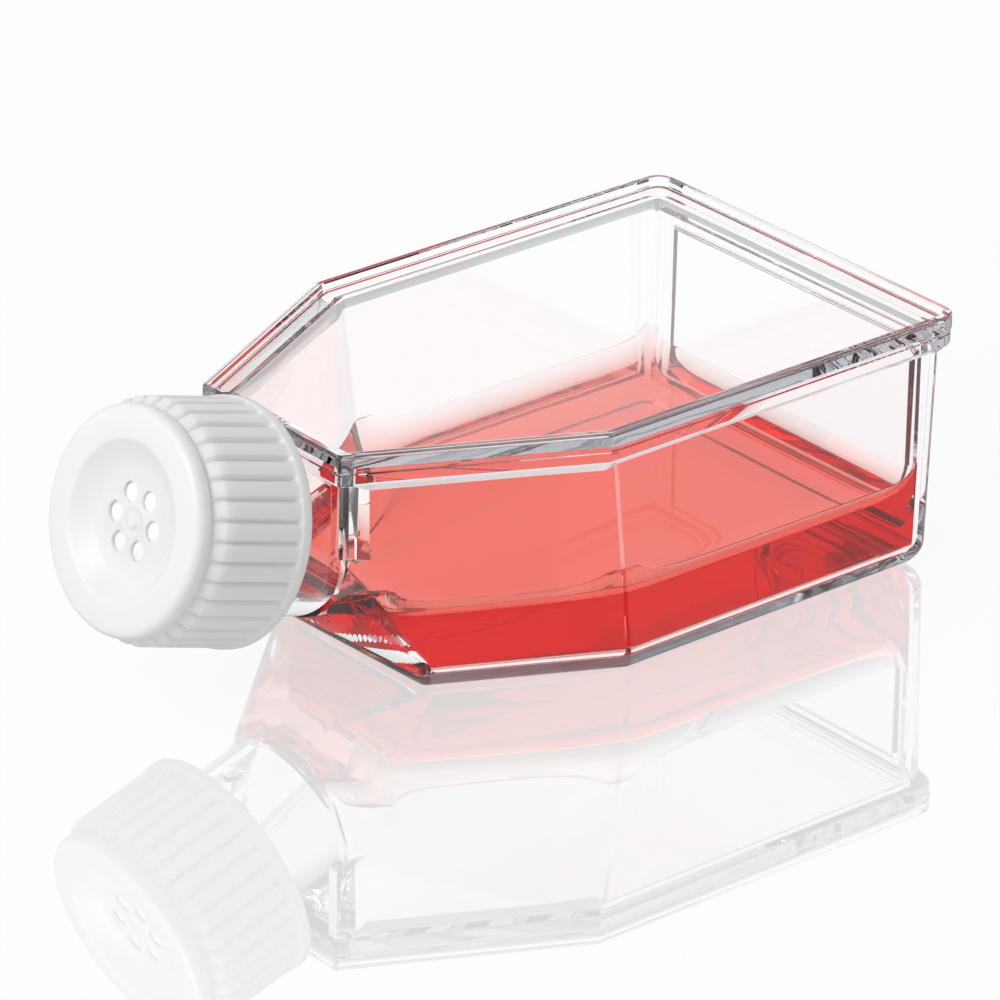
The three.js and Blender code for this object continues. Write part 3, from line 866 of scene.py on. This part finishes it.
def planesOf(points):
    # outward unit normals and distances of a convex form's faces
    form = bmesh.new()
    for point in points:
        form.verts.new(point)
    bmesh.ops.remove_doubles(form, verts=form.verts[:], dist=samePoint)
    made = bmesh.ops.convex_hull(form, input=form.verts[:])
    centre = np.mean([vert.co[:] for vert in form.verts], axis=0)
    planes = []
    for face in (g for g in made["geom"] if isinstance(g, bmesh.types.BMFace)):
        face.normal_update()
        normal, corner = np.array(face.normal), np.array(face.verts[0].co)
        if np.dot(normal, corner - centre) < 0:
            normal = -normal
        planes.append((*normal, np.dot(normal, corner)))
    form.free()
    return np.array(planes)


def climbedWalls():
    # the walls at the medium's level, as the outward normal and distance of each
    drop = pool["drop"]
    side = halfWidth - tray["rimOverhang"] - poolInset - drop * tray["wallDraft"]
    leanX, leanY = -math.sin(shoulderAngle), math.cos(shoulderAngle)
    shoulder = shoulderReach - tray["shoulderOverhang"] - poolInset - drop * tray["shoulderDraft"]
    shoulder += planStart * leanX
    return np.array((
        (0, 1, side), (0, -1, side), (1, 0, poolBackX), (leanX, leanY, shoulder), (leanX, -leanY, shoulder),
        (-1, 0, -(planStart + pool["rampContact"])),
    ))


def poolColumns():
    # level ways from a line along the middle to the walls, evenly spaced round the flask's outline
    outline = flaskOutline(*pool["outline"])
    outline.append(outline[0])
    length = np.cumsum([0] + [math.dist(a, b) for a, b in zip(outline, outline[1:])])
    spineFrom, spineTo = planStart + pool["spine"][0], planStart + rimLength - pool["spine"][1]
    columns = []
    for along in np.arange(pool["columns"]) * length[-1] / pool["columns"]:
        x, y = (np.interp(along, length, [corner[axis] for corner in outline]) for axis in (0, 1))
        start = min(max(planStart + x, spineFrom), spineTo)
        way = np.array((planStart + x - start, y, 0.0))
        columns.append((np.array((start, 0.0, 0.0)), way / np.linalg.norm(way)))
    return columns


def makeMedium():
    walls = planesOf(trayPoints(poolInset, poolBottom, tray["weldPlane"], tray["innerBottomRadius"]))
    walls = np.vstack([walls, (1, 0, 0, poolBackX)])
    climbed = climbedWalls()
    columns = poolColumns()

    def onWall(start, way, z):
        # where a column meets the wall at height z
        start = start + (0, 0, z)
        speed = walls[:, :3] @ way
        gap = walls[:, 3] - walls[:, :3] @ start
        return start + way * np.min(gap[speed > 1e-9] / speed[speed > 1e-9])

    def surfaceZ(point):
        gaps = np.maximum(climbed[:, 2] - climbed[:, :2] @ point[:2], 0)
        climb = np.sum(np.exp(-gaps / pool["climbLength"]))
        return pool["level"] + pool["rise"] * min(climb, pool["mostClimb"])

    # from the middle of the floor outwards, up the walls to the contact line, and back in; the walls
    # are met just above the bottom, because the bottom itself is level
    rows = []
    feet = [onWall(start, way, poolBottom + 0.02) for start, way in columns]
    for share in (0.4, 0.8):
        flat = [start + (foot - start) * share for (start, way), foot in zip(columns, feet)]
        rows.append([(x, y, poolBottom) for x, y, z in flat])
    for angle in range(0, 91, 15):
        wallFoot = poolBottom + tray["innerBottomRadius"] * (1 - math.cos(math.radians(angle)))
        rows.append([onWall(start, way, wallFoot + 0.001) for start, way in columns])
    highest = pool["level"] + pool["rise"]
    contact = [onWall(start, way, surfaceZ(onWall(start, way, highest))) for start, way in columns]
    for share in (0.25, 0.5, 0.75, 1.0):
        rows.append([onWall(start, way, wallFoot + (end[2] - wallFoot) * share)
                     for (start, way), end in zip(columns, contact)])
    for share in pool["inwards"]:
        flat = [end + (start - end) * share for (start, way), end in zip(columns, contact)]
        rows.append([(point[0], point[1], surfaceZ(point)) for point in flat])
    count = pool["columns"]
    faces = []
    for low in range(0, count * (len(rows) - 1), count):
        for i in range(count):
            after = (i + 1) % count
            faces.append((low + i, low + after, low + count + after, low + count + i))
    made = newObject("medium_pool", meshFrom("medium_pool", [point for row in rows for point in row], faces))
    finished(faceOut(made, holeSides=0), medium, "flask", ("culture_medium",), 35)


makeMedium()


cap = dict(
    length=15.185,
    discRadius=12.68,
    discEdge=1.1,
    bandRadius=13.765,
    bandHeight=1.4,
    bandEdge=0.3,
    bore=11.6,
    ceiling=12.2,
    ribs=36,
    ribCrest=13.6,
    ribDepth=0.62,
    ribFront=11.7,
    ribCrown=0.1,
    grooveShare=0.4,  # share of a rib's pitch that the groove takes
    stepsPerRib=16,
    recessDepth=1.75,
    recessFloor=6.3,
    recessMouth=8.7,
    recessLip=0.16,
    recessCurve=0.78,  # below 1, the recess's wall is steepest under its mouth
    plugOuter=8.35,
    plugInner=7.4,
    plugDepth=2.4,
    ventRadius=1.15,
    ventCircle=3.25,
    vents=6,
    nubRadius=0.8,
    ringRadius=1.7,
    filterWell=4.9,
    ventSkin=0.4,
)


def capProfile():
    # (radius, height, share of the rib pattern) from the middle of the ceiling round to the front
    length, ceiling, disc = cap["length"], cap["ceiling"], cap["discRadius"]
    front = length - cap["recessDepth"]
    # the skin over the filter, the well, and the plug that seals the neck's mouth
    skin, well, tip = front - cap["ventSkin"], cap["filterWell"], ceiling - cap["plugDepth"]
    inner, outer, bore = cap["plugInner"], cap["plugOuter"], cap["bore"]
    profile = [
        (0, skin, 0), (well, skin, 0), (well + 0.15, ceiling, 0), (inner, ceiling, 0),
        (inner, tip + 0.15, 0), (inner + 0.15, tip, 0), (outer - 0.3, tip, 0), (outer, tip + 0.6, 0),
        (outer, ceiling, 0),
    ]
    # the skirt's bore and its open edge, with the plain band round it
    profile += [(bore, ceiling, 0), (bore, 0.8, 0), (bore + 0.4, 0.3, 0), (bore + 0.5, 0, 0)]
    band, bandTop, edge = cap["bandRadius"], cap["bandHeight"], cap["bandEdge"]
    profile += [(r, z, 0) for r, z in arc((band - edge, edge), edge, -90, 0, 4)]
    profile += [(band, bandTop - 0.25, 0), (band - 0.03, bandTop - 0.08, 0), (band - 0.1, bandTop, 0.05)]
    # the ribs, which taper a little and end in a slope
    crest, ribFront, ribFoot = cap["ribCrest"], cap["ribFront"], cap["bandHeight"] + 0.8
    profile += [(crest + 0.02, bandTop + 0.15, 0.35), (crest, bandTop + 0.4, 0.8)]
    profile += [(crest - 0.1 * k / 8, ribFoot + (ribFront - ribFoot) * k / 8, 1.0) for k in range(9)]
    profile += [
        (crest - 0.28, ribFront + 0.25, 0.95), (crest - 0.62, ribFront + 0.62, 0.7),
        (crest - 0.98, ribFront + 1.0, 0.35), (crest - 1.3, ribFront + 1.3, 0.05),
    ]
    # the disc in front
    profile += [(disc - 0.42, ribFront + 1.4, 0), (disc - 0.3, ribFront + 1.55, 0)]
    profile += [(disc - 0.05, ribFront + 1.7, 0), (disc, ribFront + 1.9, 0)]
    edge = cap["discEdge"]
    profile += [(r, z, 0) for r, z in arc((disc - edge, length - edge), edge, 0, 78, 8)]
    # the recess, whose wall eases off towards its floor
    mouth, floor, lip = cap["recessMouth"], cap["recessFloor"], cap["recessLip"]
    profile += [(mouth + 0.4, length - 0.005, 0), (mouth + 0.18, length - 0.04, 0), (mouth, length - lip, 0)]
    for k in range(1, 9):
        radius = floor + (mouth - floor) * (1 - k / 8) ** cap["recessCurve"]
        profile.append((radius, length - lip - (cap["recessDepth"] - 0.2) * k / 8, 0))
    profile += [(floor - 0.06, front, 0)]
    # a fine ring and the gate's nub in the middle
    ring, nub = cap["ringRadius"], cap["nubRadius"]
    profile += [(ring + 0.25, front, 0), (ring + 0.1, front + 0.08, 0), (ring - 0.1, front + 0.08, 0)]
    profile += [(ring - 0.25, front, 0), (nub + 0.15, front, 0), (nub, front + 0.12, 0)]
    return profile + [(nub - 0.15, front + 0.3, 0), (0, front + 0.32, 0)]


def capTree():
    # a lathe by rule: point (step, row) stands at the row's radius, cut back where it lies in a
    # groove between two ribs; then the vent holes are drilled
    tree, identifiers, known = newTree("ventedCap", {
        "Profile": "Geometry", "Rows": "Int", "Ribs": "Int", "Steps per Rib": "Int", "Rib Depth": "Float",
        "Groove Share": "Float", "Crown": "Float", "Vents": "Int", "Vent Radius": "Float",
        "Vent Circle": "Float", "Vent Height": "Float", "Material": "Material",
    })
    position = addNode(tree, "GeometryNodeInputPosition")
    sample = addNode(tree, "GeometryNodeSampleIndex", {0: known["Profile"], 1: position},
                     data_type="FLOAT_VECTOR")
    point = addNode(tree, "ShaderNodeSeparateXYZ", {0: sample}).outputs
    known["number"] = addNode(tree, "GeometryNodeInputIndex").outputs[0]
    known["profile"], known["ribbed"] = point["X"], point["Y"]
    for name, operation, *operands in (
        # which step round the cap and which row of the profile a point is
        ("around", "MULTIPLY", "Ribs", "Steps per Rib"),
        ("columns", "ADD", "around", 1.0),
        ("halfPast", "ADD", "number", 0.5),
        ("stepsPassed", "DIVIDE", "halfPast", "Rows"),
        ("step", "FLOOR", "stepsPassed"),
        ("stepStart", "MULTIPLY", "step", "Rows"),
        ("row", "SUBTRACT", "number", "stepStart"),
        # how far along its rib it stands, from 0 at one groove to 1 at the next
        ("nudged", "ADD", "step", 0.001),
        ("ribsPassed", "DIVIDE", "nudged", "Steps per Rib"),
        ("along", "FRACT", "ribsPassed"),
        ("onwards", "SUBTRACT", 1.0, "along"),
        ("fromGroove", "MINIMUM", "along", "onwards"),
        # the groove, with soft flanks
        ("flank", "MULTIPLY", "Groove Share", 0.5),
        ("upFlank", "DIVIDE", "fromGroove", "flank"),
        ("downFlank", "SUBTRACT", 1.0, "upFlank"),
        ("depth", "MAXIMUM", "downFlank", 0.0),
        ("square", "MULTIPLY", "depth", "depth"),
        ("twice", "MULTIPLY", "depth", 2.0),
        ("bend", "SUBTRACT", 3.0, "twice"),
        ("softDepth", "MULTIPLY", "square", "bend"),
        ("groove", "MULTIPLY", "softDepth", "Rib Depth"),
        # the rib's crowned back
        ("acrossRib", "MULTIPLY", "fromGroove", 2.0),
        ("fromCrest", "SUBTRACT", 1.0, "acrossRib"),
        ("fall", "MULTIPLY", "fromCrest", "fromCrest"),
        ("crown", "MULTIPLY", "fall", "Crown"),
        ("both", "ADD", "groove", "crown"),
        ("cut", "MULTIPLY", "both", "ribbed"),
        ("radius", "SUBTRACT", "profile", "cut"),
        ("turn", "DIVIDE", "step", "around"),
        ("angle", "MULTIPLY", "turn", 2 * math.pi),
        ("cosine", "COSINE", "angle"),
        ("sine", "SINE", "angle"),
        ("x", "MULTIPLY", "radius", "cosine"),
        ("y", "MULTIPLY", "radius", "sine"),
    ):
        operands = [known[operand] if isinstance(operand, str) else operand for operand in operands]
        node = addNode(tree, "ShaderNodeMath", dict(enumerate(operands)), operation=operation)
        known[name] = node.outputs[0]
    tree.links.new(known["row"], sample.inputs["Index"])
    grid = addNode(tree, "GeometryNodeMeshGrid", {
        "Vertices X": known["columns"], "Vertices Y": known["Rows"],
    })
    place = addNode(tree, "ShaderNodeCombineXYZ", {0: known["x"], 1: known["y"], 2: point["Z"]})
    turned = addNode(tree, "GeometryNodeSetPosition", {"Geometry": grid, "Position": place})
    closed = addNode(tree, "GeometryNodeMergeByDistance", {"Geometry": turned, "Distance": samePoint})

    circle = addNode(tree, "GeometryNodeMeshCircle", {
        "Vertices": known["Vents"], "Radius": known["Vent Circle"],
    })
    height = addNode(tree, "ShaderNodeCombineXYZ", {2: known["Vent Height"]})
    places = addNode(tree, "GeometryNodeTransform", {
        "Geometry": circle, "Translation": height, "Rotation": (0, 0, math.pi / 2),
    })
    drill = addNode(tree, "GeometryNodeMeshCylinder", {
        "Vertices": 48, "Radius": known["Vent Radius"], "Depth": 8.0,
    }, fill_type="NGON")
    drills = addNode(tree, "GeometryNodeInstanceOnPoints", {"Points": places, "Instance": drill})
    drills = addNode(tree, "GeometryNodeRealizeInstances", {"Geometry": drills})
    drilled = addNode(tree, "GeometryNodeMeshBoolean", {0: closed, 1: drills},
                      operation="DIFFERENCE", solver="EXACT")
    finishTree(tree, drilled, known["Material"])
    return tree, identifiers


def makeCap():
    # the share of the rib pattern travels as the profile's Y
    profile = capProfile()
    mesh = meshFrom("screw_cap_looks", [(r, share, z) for r, z, share in profile], [])
    made = grow(newObject("vented_cap", mesh), *capTree(), {
        "Rows": len(profile), "Ribs": cap["ribs"], "Steps per Rib": cap["stepsPerRib"],
        "Rib Depth": cap["ribDepth"], "Groove Share": cap["grooveShare"], "Crown": cap["ribCrown"],
        "Vents": cap["vents"], "Vent Radius": cap["ventRadius"], "Vent Circle": cap["ventCircle"],
        "Vent Height": cap["length"], "Material": polyethylene,
    })
    placed(faceOut(made), neckMatrix)
    finished(made, polyethylene, "cap", ("screw_cap",), 40)


def makeCapThread():
    top = thread["top"] - thread["pitch"] / 2  # half a turn out of step with the neck's
    made = threadRidge("cap_thread", cap["bore"], thread["capCrest"], top, polyethylene)
    finished(made, polyethylene, "cap", (), 30)


makeCap()
makeCapThread()


membrane = dict(radius=6.9, top=11.9, thickness=0.3, bulge=1.1)


def makeMembrane():
    # the film bulges outwards a little behind the vents
    top, radius, bulge = membrane["top"], membrane["radius"], membrane["bulge"]
    bottom = top - membrane["thickness"]
    rises = [(0, bulge), (4.5, bulge), (4.65, bulge - 0.1), (4.75, 0.12), (5.2, 0)]
    profile = [(r, bottom + rise) for r, rise in rises] + [(radius, bottom), (radius, top)]
    profile += [(r, top + rise) for r, rise in reversed(rises)]
    made = placed(lathe("vent_film", profile, 96), neckMatrix)
    finished(made, membraneFilm, "filter", ("vent_membrane",), 40)


makeMembrane()
